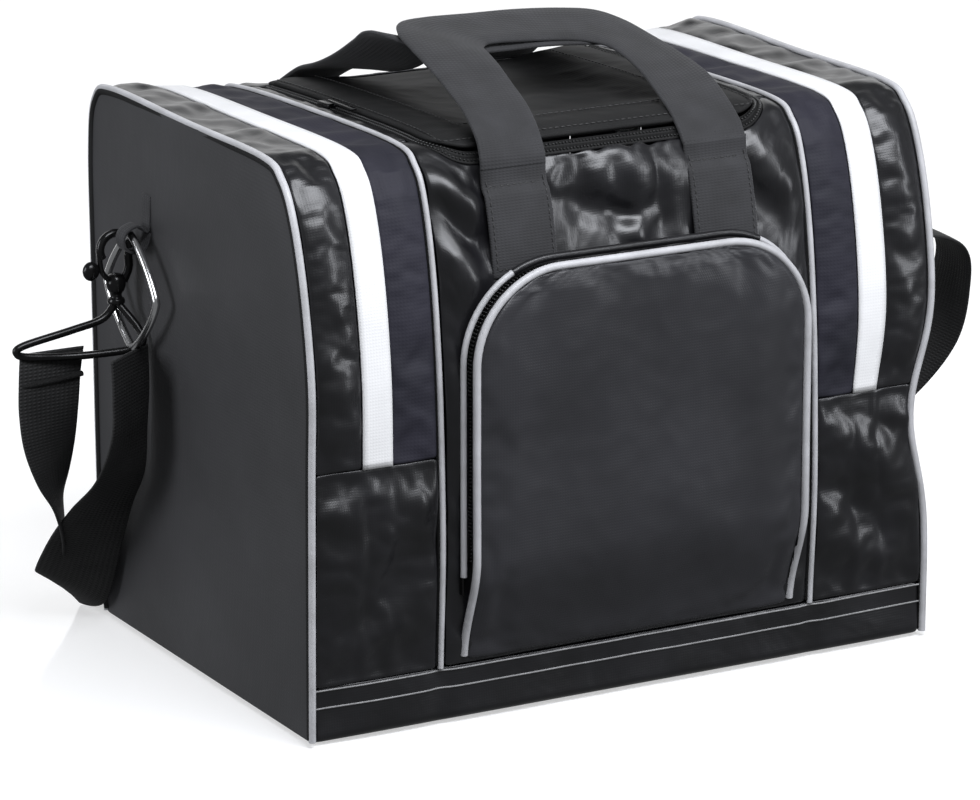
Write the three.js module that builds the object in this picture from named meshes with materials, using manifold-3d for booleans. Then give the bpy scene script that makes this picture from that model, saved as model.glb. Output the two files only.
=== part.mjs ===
// Box-shaped skate bag: a stiffened fabric shell with a zipped lid, a zipped front pocket,
// two carrying handles and a clip-on shoulder strap.
// Millimetres. X runs to the wearer's right, Y to the back, Z up from the floor.
import * as THREE from 'three';
import { mergeVertices } from 'three/addons/utils/BufferGeometryUtils.js';
import Module from 'manifold-3d';

const wasm = await Module();
wasm.setup();

// ---- overall size ----
const WIDTH = 375;
const DEPTH = 248;
const HEIGHT = 297;
const FRONT_CORNER = 46; // radius of the rounded top edge at the front
const REAR_CORNER = 30; // and at the back
const WALL = 3;
const GAP = 0.3; // clearance between pieces that touch
const HALF_DEPTH = DEPTH / 2;

// ---- seams across the width, as distances from the middle ----
const CENTRE_PIPING_X = 112;
const END_PIPING_X = 185.6;
const STRIPE_INNER_X = 140;
const STRIPE_OUTER_X = 156.7;
const CENTRE_PIPING_R = 2.2;
const END_PIPING_R = 2.4;
const PIPING_RISE = 1.8; // how far piping stands out of the wall
const PIPING_SEAM = 2; // seam allowance beside the end piping
const CENTRE_EDGE_X = CENTRE_PIPING_X - CENTRE_PIPING_R - GAP;
const SIDE_INNER_X = CENTRE_PIPING_X + CENTRE_PIPING_R + GAP;
const SIDE_OUTER_X = END_PIPING_X - END_PIPING_R - GAP;

// ---- seams up the height ----
const BASE_TOP = 31;
const SIDE_SEAM = 144.7;
const END_PIPING_FOOT = 3;

// ---- lid ----
const LID_HALF_WIDTH = 98.4;
const LID_FRONT = -98.4;
const LID_BACK = 93;
const LID_CORNER = 20;
const LID_RISE = 3;
const ZIP_TAPE = 2.4;
const ZIP_END = 84; // how far back the lid's zip runs
const PULL_GAP = 1;
const PULL_THICKNESS = 1.4;

// ---- front pocket ----
const POCKET_HALF_WIDTH = 97;
const POCKET_BOTTOM = 33;
const POCKET_TOP = 242;
const POCKET_CORNER = 47;
const POCKET_SKIN = 2.5;
const POCKET_FACE_Y = -142.5;
const POCKET_TAPER_TOP = 85; // below this the pocket thins out towards its foot
const POCKET_FOOT_Y = -127.4;
const POCKET_ZIP_FOOT = 88;

// ---- webbing ----
const HANDLE_X = 60;
const HANDLE_WIDTH = 38;
const HANDLE_THICKNESS = 2.4;
const FRONT_FREE_DEGREES = 48; // where a handle's webbing comes free on the rounded edge
const REAR_FREE_DEGREES = 45;
const STRAP_WIDTH = 40;
const STRAP_THICKNESS = 1.8;

// ---- strap hardware, for the side where x is negative ----
const RING_X = -198.5;
const RING_TOP = { y: 54, z: 232 };
const RING_SIDE = 44;
const RING_WIRE_R = 2;
const HOOK_Y = 68;
const HOOK_X = -201.1;
const HOOK_Z = 221;

const charcoal = () => fabric(0x4b4b50, 0.85);
const glossBlack = () => fabric(0x17171a, 0.3);
const slate = () => fabric(0x33323d, 0.8);
const tapeWhite = () => fabric(0xf2f2f2, 0.6);
const pipingGrey = () => fabric(0xa9a9ad, 0.5);
const mattBlack = () => fabric(0x1d1d20, 0.85);
const webbing = () => fabric(0x3a3a3e, 0.9);
const zipBlack = () => fabric(0x101012, 0.55);
const strapBlack = () => fabric(0x0e0e10, 0.8);
const nickel = () => metal(0xd2d2d6, 0.2);
const blackMetal = () => metal(0x1a1a1c, 0.25);

function fabric(color, roughness) {
  return new THREE.MeshStandardMaterial({ color, roughness, metalness: 0 });
}

function metal(color, roughness) {
  return new THREE.MeshStandardMaterial({ color, roughness, metalness: 1 });
}

// ---- building blocks ----

const yz = (y, z) => new THREE.Vector2(y, z);

/** A solid with a YZ outline, running from x0 to x1. */
function extrudeX(shape, x0, x1) {
  const solid = new THREE.ExtrudeGeometry(shape, { depth: x1 - x0, bevelEnabled: false, curveSegments: 6 });
  solid.applyMatrix4(new THREE.Matrix4().set(0, 0, 1, x0, 1, 0, 0, 0, 0, 1, 0, 0, 0, 0, 0, 1));
  return solid;
}

/** A solid with an XZ outline, running from y0 to y1. */
function extrudeY(shape, y0, y1) {
  const solid = new THREE.ExtrudeGeometry(shape, { depth: y1 - y0, bevelEnabled: false, curveSegments: 6 });
  solid.applyMatrix4(new THREE.Matrix4().set(1, 0, 0, 0, 0, 0, -1, y1, 0, 1, 0, 0, 0, 0, 0, 1));
  return solid;
}

/** A solid with an XY outline, running from z0 to z1. */
function extrudeZ(shape, z0, z1) {
  const solid = new THREE.ExtrudeGeometry(shape, { depth: z1 - z0, bevelEnabled: false, curveSegments: 6 });
  return solid.translate(0, 0, z0);
}

/** A block given by two opposite corners. */
function block(low, high) {
  const solid = new THREE.BoxGeometry(high[0] - low[0], high[1] - low[1], high[2] - low[2]);
  return solid.translate((low[0] + high[0]) / 2, (low[1] + high[1]) / 2, (low[2] + high[2]) / 2);
}

function toManifold(geometry) {
  const bare = geometry.clone();
  bare.deleteAttribute('normal');
  bare.deleteAttribute('uv');
  const merged = mergeVertices(bare, 1e-4);
  return new wasm.Manifold(
    new wasm.Mesh({
      numProp: 3,
      vertProperties: new Float32Array(merged.attributes.position.array),
      triVerts: new Uint32Array(merged.index.array),
    }),
  );
}

function fromManifold(solid) {
  const mesh = solid.getMesh();
  const geometry = new THREE.BufferGeometry();
  geometry.setAttribute('position', new THREE.BufferAttribute(mesh.vertProperties, 3));
  geometry.setIndex(new THREE.BufferAttribute(mesh.triVerts, 1));
  geometry.computeVertexNormals();
  return geometry;
}

const subtract = (a, b) => fromManifold(toManifold(a).subtract(toManifold(b)));
const intersect = (a, b) => fromManifold(toManifold(a).intersect(toManifold(b)));
const union = (a, b) => fromManifold(toManifold(a).add(toManifold(b)));
const mirrorX = (geometry) => fromManifold(toManifold(geometry).mirror([1, 0, 0]));

/** A round cord along a smooth path through the points. */
function cord(points, radius, steps) {
  const circle = new THREE.Shape().absarc(0, 0, radius, 0, 2 * Math.PI);
  const path = new THREE.CatmullRomCurve3(points, false, 'centripetal');
  return new THREE.ExtrudeGeometry(circle, { steps, extrudePath: path, curveSegments: 3, bevelEnabled: false });
}

/** A closed wire ring with rounded corners through the points. */
function wireRing(points, radius) {
  const path = new THREE.CatmullRomCurve3(points, true, 'catmullrom', 0.12);
  return new THREE.TubeGeometry(path, 28, radius, 6, true);
}

/** Points round one rounded top edge, from the wall up to the top, for the front or the back. */
function topCorner(side, inset, lastDegrees = 90) {
  const corner = side < 0 ? FRONT_CORNER : REAR_CORNER;
  const radius = corner - inset;
  const steps = Math.round((8 * lastDegrees) / 90);
  const points = [];
  for (let i = 0; i <= steps; i++) {
    const turn = THREE.MathUtils.degToRad((lastDegrees * i) / steps);
    const y = HALF_DEPTH - corner + radius * Math.cos(turn);
    points.push(yz(side * y, HEIGHT - corner + radius * Math.sin(turn)));
  }
  return points;
}

/** The bag's outline seen from the side, from the front foot over the top to the back. */
function bagOutline(inset, foot) {
  const front = [yz(-HALF_DEPTH + inset, foot), ...topCorner(-1, inset)];
  return [...front, ...topCorner(1, inset).reverse(), yz(HALF_DEPTH - inset, foot)];
}

/** A strip of the bag's wall, from x0 to x1, between two insets from the bag's outline. */
function wrapWall(x0, x1, outer, inner, foot) {
  const outline = [...bagOutline(outer, foot), ...bagOutline(inner, foot).reverse()];
  return extrudeX(new THREE.Shape(outline), x0, x1);
}

/** A rectangle with rounded corners, as [x, y] extents. */
function roundedRectangle(x0, x1, y0, y1, lowRadius, highRadius) {
  const shape = new THREE.Shape();
  shape.moveTo(x0 + lowRadius, y0);
  shape.lineTo(x1 - lowRadius, y0);
  shape.absarc(x1 - lowRadius, y0 + lowRadius, lowRadius, -Math.PI / 2, 0);
  shape.absarc(x1 - highRadius, y1 - highRadius, highRadius, 0, Math.PI / 2);
  shape.absarc(x0 + highRadius, y1 - highRadius, highRadius, Math.PI / 2, Math.PI);
  shape.absarc(x0 + lowRadius, y0 + lowRadius, lowRadius, Math.PI, 1.5 * Math.PI);
  return shape;
}

/** Flat webbing of one thickness along a YZ path, centred on x. */
function webbingBand(path, x, width, thickness) {
  const half = thickness / 2;
  const normals = path.map((point, i) => {
    const before = path[Math.max(i - 1, 0)];
    const after = path[Math.min(i + 1, path.length - 1)];
    const along = after.clone().sub(before).normalize();
    return yz(-along.y, along.x);
  });
  const upper = path.map((point, i) => point.clone().addScaledVector(normals[i], half));
  const lower = path.map((point, i) => point.clone().addScaledVector(normals[i], -half));
  return extrudeX(new THREE.Shape([...lower, ...upper.reverse()]), x - width / 2, x + width / 2);
}

const root = new THREE.Group();
root.name = 'skate_bag';

function add(parent, name, geometry, material) {
  const mesh = new THREE.Mesh(geometry, material);
  mesh.name = name;
  parent.add(mesh);
}

function group(name) {
  const made = new THREE.Group();
  made.name = name;
  root.add(made);
  return made;
}

/** Adds a piece on the left and its mirror image on the right. */
function addPair(parent, name, geometry, material) {
  add(parent, `${name}_left`, geometry, material());
  add(parent, `${name}_right`, mirrorX(geometry), material());
}

// ---- shell ----

function endPanel() {
  const outline = bagOutline(2 * END_PIPING_R - PIPING_RISE + PIPING_SEAM, 1);
  return extrudeX(new THREE.Shape(outline), -WIDTH / 2, -SIDE_OUTER_X - GAP);
}

function piping(x, radius, foot) {
  const outline = bagOutline(radius - PIPING_RISE, foot);
  const points = outline.map((p) => new THREE.Vector3(x, p.x, p.y));
  return cord(points, radius, 36);
}

/** A strip of a side section, above the seam at front and back. */
function sideStrip(innerX, outerX) {
  return wrapWall(-outerX, -innerX, 0, WALL, SIDE_SEAM + GAP);
}

function lowerPanel(side) {
  const outer = side * HALF_DEPTH;
  const inner = side * (HALF_DEPTH - WALL);
  const low = [-SIDE_OUTER_X, Math.min(outer, inner), BASE_TOP + GAP];
  const high = [-SIDE_INNER_X, Math.max(outer, inner), SIDE_SEAM];
  return block(low, high);
}

/** The bottom with its turned-up front and back bands. */
function basePan() {
  const outer = [yz(-HALF_DEPTH, BASE_TOP), yz(-HALF_DEPTH, 0), yz(HALF_DEPTH, 0), yz(HALF_DEPTH, BASE_TOP)];
  const inside = HALF_DEPTH - WALL;
  const inner = [yz(inside, BASE_TOP), yz(inside, WALL), yz(-inside, WALL), yz(-inside, BASE_TOP)];
  return extrudeX(new THREE.Shape([...outer, ...inner]), -SIDE_OUTER_X, SIDE_OUTER_X);
}

/** The stiff board that keeps the bottom flat. */
function baseBoard() {
  const board = roundedRectangle(-180, 180, -118, 118, 8, 8);
  return extrudeZ(board, WALL + GAP, WALL + GAP + 3);
}

/** The plan outline of the lid, grown by a margin. */
function lidPlan(margin) {
  const half = LID_HALF_WIDTH + margin;
  return roundedRectangle(-half, half, LID_FRONT - margin, LID_BACK + margin, LID_CORNER + margin, 2 + margin);
}

/** A U-shaped strip round the lid's free edges, between two margins. */
function lidSurround(innerMargin, outerMargin, outerInset, innerInset) {
  const ring = lidPlan(outerMargin);
  ring.holes.push(lidPlan(innerMargin));
  const wall = wrapWall(-CENTRE_EDGE_X, CENTRE_EDGE_X, outerInset, innerInset, SIDE_SEAM);
  const strip = intersect(wall, extrudeZ(ring, SIDE_SEAM, HEIGHT + 10));
  return intersect(strip, block([-WIDTH, -HALF_DEPTH, 0], [WIDTH, ZIP_END, HEIGHT + 10]));
}

/** The middle section of the wrap, opened where the lid and its zip go. */
function centreWrap() {
  const wall = wrapWall(-CENTRE_EDGE_X, CENTRE_EDGE_X, 0, WALL, BASE_TOP + GAP);
  const cutter = extrudeZ(lidPlan(2 * (ZIP_TAPE + GAP) + GAP), HEIGHT - FRONT_CORNER, HEIGHT + 10);
  const aheadOfHinge = block([-WIDTH, -WIDTH, 0], [WIDTH, LID_BACK + GAP, WIDTH]);
  return subtract(wall, intersect(cutter, aheadOfHinge));
}

function buildCentre(parent) {
  const wrap = centreWrap();
  const frontSeam = -HALF_DEPTH + FRONT_CORNER;
  const backSeam = LID_BACK + 2;
  const front = block([-WIDTH, -WIDTH, 0], [WIDTH, frontSeam, WIDTH]);
  const back = block([-WIDTH, backSeam, 0], [WIDTH, WIDTH, WIDTH]);
  const leftTop = block([-WIDTH, frontSeam + GAP, 0], [0, backSeam - GAP, WIDTH]);
  add(parent, 'centre_front_panel', intersect(wrap, front), glossBlack());
  add(parent, 'centre_back_panel', intersect(wrap, back), glossBlack());
  addPair(parent, 'top_gusset', gussetOnly(intersect(wrap, leftTop)), glossBlack);
}

/** Keeps only the strip beside the opening, without the sliver behind the lid. */
function gussetOnly(strip) {
  return intersect(strip, block([-WIDTH, -WIDTH, 0], [-LID_HALF_WIDTH - ZIP_TAPE, WIDTH, WIDTH]));
}

/** The sewn-down foot of a handle, on the front or the back, up to where the webbing comes free. */
function handleFoot(side) {
  const out = GAP + HANDLE_THICKNESS / 2;
  const foot = yz(side * (HALF_DEPTH + out), POCKET_TOP + 6);
  const freeFrom = side < 0 ? FRONT_FREE_DEGREES : REAR_FREE_DEGREES;
  const path = [foot, ...topCorner(side, -out, freeFrom)];
  return webbingBand(path, -HANDLE_X, HANDLE_WIDTH, HANDLE_THICKNESS);
}

function buildShell() {
  const shell = group('shell');
  addPair(shell, 'end_panel', endPanel(), charcoal);
  addPair(shell, 'end_piping', piping(-END_PIPING_X, END_PIPING_R, END_PIPING_FOOT), pipingGrey);
  addPair(shell, 'gloss_strip', sideStrip(STRIPE_OUTER_X + GAP, SIDE_OUTER_X), glossBlack);
  addPair(shell, 'stripe', sideStrip(STRIPE_INNER_X, STRIPE_OUTER_X), tapeWhite);
  addPair(shell, 'matte_strip', sideStrip(SIDE_INNER_X, STRIPE_INNER_X - GAP), slate);
  addPair(shell, 'lower_front', lowerPanel(-1), glossBlack);
  addPair(shell, 'lower_back', lowerPanel(1), glossBlack);
  addPair(shell, 'centre_piping', piping(-CENTRE_PIPING_X, CENTRE_PIPING_R, BASE_TOP + GAP), pipingGrey);
  buildCentre(shell);
  add(shell, 'base_pan', basePan(), glossBlack());
  add(shell, 'base_board', baseBoard(), mattBlack());
  const bagZip = lidSurround(ZIP_TAPE + 2 * GAP, 2 * (ZIP_TAPE + GAP), 0, 1.6);
  add(shell, 'bag_zip_half', bagZip, zipBlack());
  addPair(shell, 'front_leg', handleFoot(-1), webbing);
  addPair(shell, 'rear_leg', handleFoot(1), webbing);
  return shell;
}

// ---- lid ----

function buildLid() {
  const lid = group('lid');
  const skin = wrapWall(-CENTRE_EDGE_X, CENTRE_EDGE_X, -LID_RISE, 0, SIDE_SEAM);
  add(lid, 'lid_panel', intersect(skin, extrudeZ(lidPlan(0), SIDE_SEAM, HEIGHT + 10)), mattBlack());
  add(lid, 'lid_zip_half', lidSurround(GAP, GAP + ZIP_TAPE, 0, 1.6), zipBlack());
  const slider = group('top_slider_body');
  const sliderX = -LID_HALF_WIDTH - ZIP_TAPE - 1.5 * GAP;
  const sliderTop = HEIGHT + 3.2;
  add(slider, 'top_slider', block([sliderX - 4, 8, HEIGHT + GAP], [sliderX + 2, 20, sliderTop]), blackMetal());
  const pull = group('top_pull_body');
  const low = sliderTop + PULL_GAP;
  add(pull, 'top_pull', block([sliderX - 3, -16, low], [sliderX + 1, 10, low + PULL_THICKNESS]), blackMetal());
}

// ---- front pocket ----

/** The pocket's outline seen from the front, grown by a margin. */
function pocketOutline(margin, foot) {
  const half = POCKET_HALF_WIDTH + margin;
  return roundedRectangle(-half, half, foot, POCKET_TOP + margin, 2, POCKET_CORNER + margin);
}

/** The solid in front of the bag inside the pocket's outline. */
function pocketPrism(margin, foot) {
  return extrudeY(pocketOutline(margin, foot), POCKET_FACE_Y - 10, -HALF_DEPTH);
}

/** An arch-shaped gusset strip of the pocket, as deep as the YZ outline says. */
function pocketArch(sideOutline) {
  const foot = POCKET_BOTTOM + GAP;
  const arch = subtract(pocketPrism(0, foot), pocketPrism(-POCKET_SKIN, foot - 10));
  return intersect(arch, extrudeX(new THREE.Shape(sideOutline), -WIDTH / 2, WIDTH / 2));
}

/** An arch of the pocket's gusset between two depths, above a given height. */
function pocketBand(y0, y1, foot) {
  return pocketArch([yz(y0, foot), yz(y1, foot), yz(y1, POCKET_TOP + 1), yz(y0, POCKET_TOP + 1)]);
}

function pocketFace() {
  const outside = [yz(POCKET_FOOT_Y, POCKET_BOTTOM), yz(POCKET_FACE_Y, POCKET_TAPER_TOP)];
  const outer = [...outside, yz(POCKET_FACE_Y, POCKET_TOP + 1)];
  const inner = outer.map((p) => yz(p.x + POCKET_SKIN, p.y)).reverse();
  const skin = extrudeX(new THREE.Shape([...outer, ...inner]), -WIDTH / 2, WIDTH / 2);
  return intersect(skin, pocketPrism(0, POCKET_BOTTOM + GAP));
}

/** The gusset on the face's side of the zip, with its feet that close the tapered bottom. */
function pocketFrontGusset() {
  const back = POCKET_FACE_Y + POCKET_SKIN + GAP;
  const zipSide = -HALF_DEPTH - 10.3;
  const wallSide = -HALF_DEPTH - GAP;
  const slope = (POCKET_FACE_Y - POCKET_FOOT_Y) / (POCKET_TAPER_TOP - POCKET_BOTTOM);
  const footZ = POCKET_BOTTOM + (wallSide - GAP - POCKET_SKIN - POCKET_FOOT_Y - GAP) / slope;
  return pocketArch([
    yz(back, POCKET_TOP + 1),
    yz(back, POCKET_TAPER_TOP),
    yz(wallSide - GAP, footZ),
    yz(wallSide, POCKET_TAPER_TOP - 1),
    yz(zipSide, POCKET_ZIP_FOOT - GAP),
    yz(zipSide, POCKET_TOP + 1),
  ]);
}

/** Half the arch that the pocket's piping follows, from its top middle to the left foot. */
function archPath(margin, foot) {
  const x = POCKET_HALF_WIDTH + margin;
  const top = POCKET_TOP + margin;
  const radius = POCKET_CORNER + margin;
  const points = [];
  for (let i = 0; i <= 6; i++) {
    const turn = (i / 6) * (Math.PI / 2);
    points.push(new THREE.Vector3(-x + radius - radius * Math.sin(turn), 0, top - radius + radius * Math.cos(turn)));
  }
  return [...points, new THREE.Vector3(-x, 0, (top + foot) / 2), new THREE.Vector3(-x, 0, foot)];
}

/** Piping round the pocket, at the depth that depthAt gives for each height. */
function pocketPiping(radius, foot, depthAt) {
  const left = archPath(radius + 2 * GAP, POCKET_TAPER_TOP);
  left.push(new THREE.Vector3(-POCKET_HALF_WIDTH - radius - 2 * GAP, 0, foot));
  const right = left.map((p) => new THREE.Vector3(-p.x, 0, p.z)).reverse();
  const whole = [...right, ...left.slice(1)];
  whole.forEach((p) => p.setY(depthAt(p.z)));
  return cord(whole, radius, 40);
}

function faceDepth(z) {
  const share = Math.min(1, (z - POCKET_BOTTOM) / (POCKET_TAPER_TOP - POCKET_BOTTOM));
  return THREE.MathUtils.lerp(POCKET_FOOT_Y, POCKET_FACE_Y, share);
}

function buildPocket(shell) {
  const wall = -HALF_DEPTH - GAP;
  add(shell, 'pocket_back_gusset', pocketBand(wall - 4.4, wall, POCKET_ZIP_FOOT), glossBlack());
  add(shell, 'pocket_zip_back', pocketBand(wall - 7, wall - 4.7, POCKET_ZIP_FOOT), zipBlack());
  const basePiping = pocketPiping(1.9, 52, () => wall - 2);
  add(shell, 'pocket_base_piping', basePiping, pipingGrey());

  const flap = group('pocket_flap');
  add(flap, 'pocket_face', pocketFace(), charcoal());
  add(flap, 'pocket_front_gusset', pocketFrontGusset(), glossBlack());
  add(flap, 'pocket_zip_front', pocketBand(wall - 9.7, wall - 7.3, POCKET_ZIP_FOOT), zipBlack());
  add(flap, 'pocket_face_piping', pocketPiping(2.1, POCKET_BOTTOM + 3, faceDepth), pipingGrey());

  const slider = group('pocket_slider_body');
  const edge = -POCKET_HALF_WIDTH - GAP;
  const zipLine = wall - 7.1;
  add(slider, 'pocket_slider', block([edge - 3, zipLine - 2.2, 90], [edge, zipLine + 2.2, 102]), blackMetal());
  const pull = group('pocket_pull_body');
  const inner = edge - 3 - PULL_GAP;
  const tab = block([inner - PULL_THICKNESS, zipLine - 2, 70], [inner, zipLine + 2, 97]);
  add(pull, 'pocket_pull', tab, blackMetal());
}

// ---- carrying handles ----

/** A handle: two free webbing legs joined by the flat grip that runs across the bag. */
function handle(legPath, gripZ) {
  const leg = webbingBand(legPath, -HANDLE_X, HANDLE_WIDTH, HANDLE_THICKNESS);
  const grip = block([-79, -34, gripZ - HANDLE_THICKNESS / 2], [79, 4, gripZ + HANDLE_THICKNESS / 2]);
  return union(union(grip, leg), mirrorX(leg));
}

function buildHandles() {
  const upperGrip = 341.4;
  const lowerGrip = upperGrip - HANDLE_THICKNESS - 0.4;
  const frontPath = [[-108, 291], [-103, 299], [-91, 310], [-74, 318.5], [-54, 330], [-42, 340]];
  const rearPath = [[0, lowerGrip], [6, 337], [22, 327], [46, 315], [70, 310], [96, 307], [110, 302], [117, 293]];
  const frontLeg = [...frontPath, [-36, upperGrip], [-30, upperGrip]].map(([y, z]) => yz(y, z));
  const rearLeg = rearPath.map(([y, z]) => yz(y, z));
  add(group('handle_front_body'), 'handle_front', handle(frontLeg, upperGrip), webbing());
  add(group('handle_rear_body'), 'handle_rear', handle(rearLeg, lowerGrip), webbing());
}

// ---- strap hardware and strap ----

/** The small sewn loop that holds the ring by its upper corner. */
function ringTab() {
  const wallX = -WIDTH / 2 - GAP;
  const loopZ = RING_TOP.z - 3.1;
  const plate = block([wallX - 3.6, -5, loopZ], [wallX, 5, loopZ + 24]);
  const loop = new THREE.Shape().absarc(RING_X, loopZ, 8, 0, 2 * Math.PI);
  loop.holes.push(new THREE.Path().absarc(RING_X, loopZ, 6.2, 0, 2 * Math.PI));
  return union(plate, extrudeY(loop, -5, 5)).translate(0, RING_TOP.y, 0);
}

function ring() {
  const half = RING_SIDE / Math.SQRT2;
  const y = RING_TOP.y;
  const z = RING_TOP.z - half;
  const corners = [[y, z + half], [y - half, z], [y, z - half], [y + half, z]];
  return wireRing(corners.map(([cy, cz]) => new THREE.Vector3(RING_X, cy, cz)), RING_WIRE_R);
}

/** The hook: a rounded bow open on its outer side, on a stem that ends in a ball. */
function hookBody() {
  const bow = new THREE.Shape();
  bow.moveTo(HOOK_X - 4, HOOK_Z - 27);
  bow.lineTo(HOOK_X + 4, HOOK_Z - 27);
  bow.lineTo(HOOK_X + 10.5, HOOK_Z - 18);
  bow.absarc(HOOK_X, HOOK_Z, 10.5, 0, Math.PI);
  bow.lineTo(HOOK_X - 10.5, HOOK_Z - 18);
  const eye = new THREE.Path();
  eye.absarc(HOOK_X, HOOK_Z, 6.4, 0, Math.PI);
  eye.absarc(HOOK_X, HOOK_Z - 10, 6.4, Math.PI, 2 * Math.PI);
  bow.holes.push(eye);
  const gateGap = block([HOOK_X - 12, HOOK_Y - 5, HOOK_Z - 13], [HOOK_X - 6, HOOK_Y + 5, HOOK_Z + 1]);
  return subtract(extrudeY(bow, HOOK_Y - 3, HOOK_Y + 3), gateGap);
}

function hookGate() {
  return block([HOOK_X - 10.3, HOOK_Y - 2.5, HOOK_Z - 10.6], [HOOK_X - 8, HOOK_Y + 2.5, HOOK_Z - 0.6]);
}

/** The wide wire loop below the hook that the strap goes through. */
function strapEye() {
  const low = HOOK_Z - 44;
  const top = HOOK_Z - 30;
  const corners = [[HOOK_X + 1, low + 2], [HOOK_X, top], [HOOK_X - 14, top], [HOOK_X - 58, low + 3], [HOOK_X - 57, low]];
  return wireRing(corners.map(([x, z]) => new THREE.Vector3(x - 4, HOOK_Y, z)), 2.2);
}

function buildStrapHardware(shell) {
  addPair(shell, 'ring_tab', ringTab(), webbing);
  addPair(group('ring_bodies'), 'ring', ring(), nickel);
  addPair(group('hook_bodies'), 'hook', hookBody(), blackMetal);
  addPair(group('gate_bodies'), 'hook_gate', hookGate(), blackMetal);
  addPair(group('eye_bodies'), 'strap_eye', strapEye(), blackMetal);
}

/** The strap's rise on the right: out from the eye, over and down, drifting back as it drops. */
function strapRight() {
  const climb = [[260, 30], [312, 52], [344, 92], [350, 140], [338, 166], [300, 172], [262, 166], [246, 164]];
  const path = climb.map(([x, z]) => new THREE.Vector2(x, z));
  const band = webbingBand(path, 0, STRAP_WIDTH, STRAP_THICKNESS);
  band.rotateZ(-Math.PI / 2);
  const drift = 0.43; // how far it moves back for each millimetre it drops
  band.applyMatrix4(new THREE.Matrix4().set(1, 0, 0, 0, 0, 1, -drift, HOOK_Y + drift * 166, 0, 0, 1, 0, 0, 0, 0, 1));
  return band;
}

/** The strap leaves the left eye, passes behind the bag near the floor and climbs on the right. */
function buildStrap(shell) {
  const left = [yz(42, 172), yz(42, 135), yz(46, 105), yz(70, 80), yz(92, 54), yz(113, 22), yz(138, 10)];
  const x = -211;
  add(shell, 'strap_left', webbingBand(left, x, STRAP_WIDTH, STRAP_THICKNESS), strapBlack());
  const start = [x + STRAP_WIDTH / 2 + GAP, 148, 4];
  const end = [258, start[1] + STRAP_THICKNESS, start[2] + STRAP_WIDTH];
  add(shell, 'strap_back', block(start, end), strapBlack());
  add(shell, 'strap_right', strapRight(), strapBlack());
}

const shell = buildShell();
buildLid();
buildPocket(shell);
buildHandles();
buildStrapHardware(shell);
buildStrap(shell);

export default root;
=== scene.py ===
"""Looks of the box-shaped skate bag: sewn fabric shell, lid, pocket, handles and clip-on strap.

Outlines and points below are in millimetres in the frame's own axes: X right, Y back, Z up.
"""
import math

import bmesh
import bpy
import numpy as np
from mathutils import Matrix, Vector, noise


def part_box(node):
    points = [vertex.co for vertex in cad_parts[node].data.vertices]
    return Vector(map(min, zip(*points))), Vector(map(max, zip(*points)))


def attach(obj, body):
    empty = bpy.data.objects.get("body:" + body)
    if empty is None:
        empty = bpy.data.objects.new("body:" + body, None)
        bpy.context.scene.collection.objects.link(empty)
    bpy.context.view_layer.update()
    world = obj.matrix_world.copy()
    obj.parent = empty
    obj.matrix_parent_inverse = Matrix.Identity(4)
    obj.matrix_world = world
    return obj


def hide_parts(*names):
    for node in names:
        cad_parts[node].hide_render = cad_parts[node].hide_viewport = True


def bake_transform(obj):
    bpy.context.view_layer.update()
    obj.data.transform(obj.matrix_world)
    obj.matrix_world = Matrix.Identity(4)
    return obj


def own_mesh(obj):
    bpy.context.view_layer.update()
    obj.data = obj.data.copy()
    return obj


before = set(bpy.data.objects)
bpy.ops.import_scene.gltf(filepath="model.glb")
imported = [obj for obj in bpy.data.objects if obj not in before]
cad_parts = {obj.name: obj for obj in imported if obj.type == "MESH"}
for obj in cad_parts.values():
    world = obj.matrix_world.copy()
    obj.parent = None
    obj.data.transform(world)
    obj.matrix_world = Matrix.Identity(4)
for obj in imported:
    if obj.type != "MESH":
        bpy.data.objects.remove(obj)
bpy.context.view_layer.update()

MM = 0.001

# ---- driving dimensions, read from the frame ----


def node_box(node):
    """A CAD node's two corners in millimetres."""
    low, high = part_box(node)
    return np.array(low) / MM, np.array(high) / MM


END_X = node_box("gloss_strip_right")[1][0] + 2.7
CENTRE_X = node_box("centre_piping_right")[0][0] + 2.2
STRIPE_X = node_box("stripe_right")[0][0], node_box("stripe_right")[1][0]
LID_LOW, LID_HIGH = node_box("lid_panel")
POCKET_LOW, POCKET_HIGH = node_box("pocket_face")
POCKET_TOP = POCKET_HIGH[2] - 4
POCKET_CORNER = 47
LID_CORNER = 20
HINGE_GAP = 9  # the lid's zip stops this far from its back seam
ZIP_WIDTH = 2.4
SEAM = 0.3
HANDLE_THICKNESS = 2.4
STRAP_THICKNESS = 1.8

# The wall's line from the front foot over the top to the back foot, as (y, z), at the ends
# and in the middle section. Both have the same count of points, so they can be blended.
END_LINE = [(-125, 2), (-125.5, 31), (-126.5, 90), (-127.5, 144), (-128.5, 190), (-121.5, 236),
            (-111, 271), (-98, 291), (-76, 298.5), (10, 298.5), (100, 299), (123, 291),
            (130, 262), (130, 200), (129.5, 144), (129, 90), (127, 31), (122, 2)]
CENTRE_LINE = [(-128, 2), (-126.5, 31), (-129.5, 90), (-128.5, 144), (-126, 190), (-120.5, 236),
               (-112, 272), (-101.5, 290.5), (-80, 298), (10, 297), (96, 293), (118, 286),
               (127, 262), (128, 200), (128, 144), (128, 90), (126.5, 31), (124, 2)]
BAND_TOP = 1  # place on these lines of the bottom band's upper edge
SIDE_SEAM = 3  # and of the seam under the stripes
BACK_SEAM = 14
BACK_BAND_TOP = 16
LINE_END = 17


# ---- shape helpers ----

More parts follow.
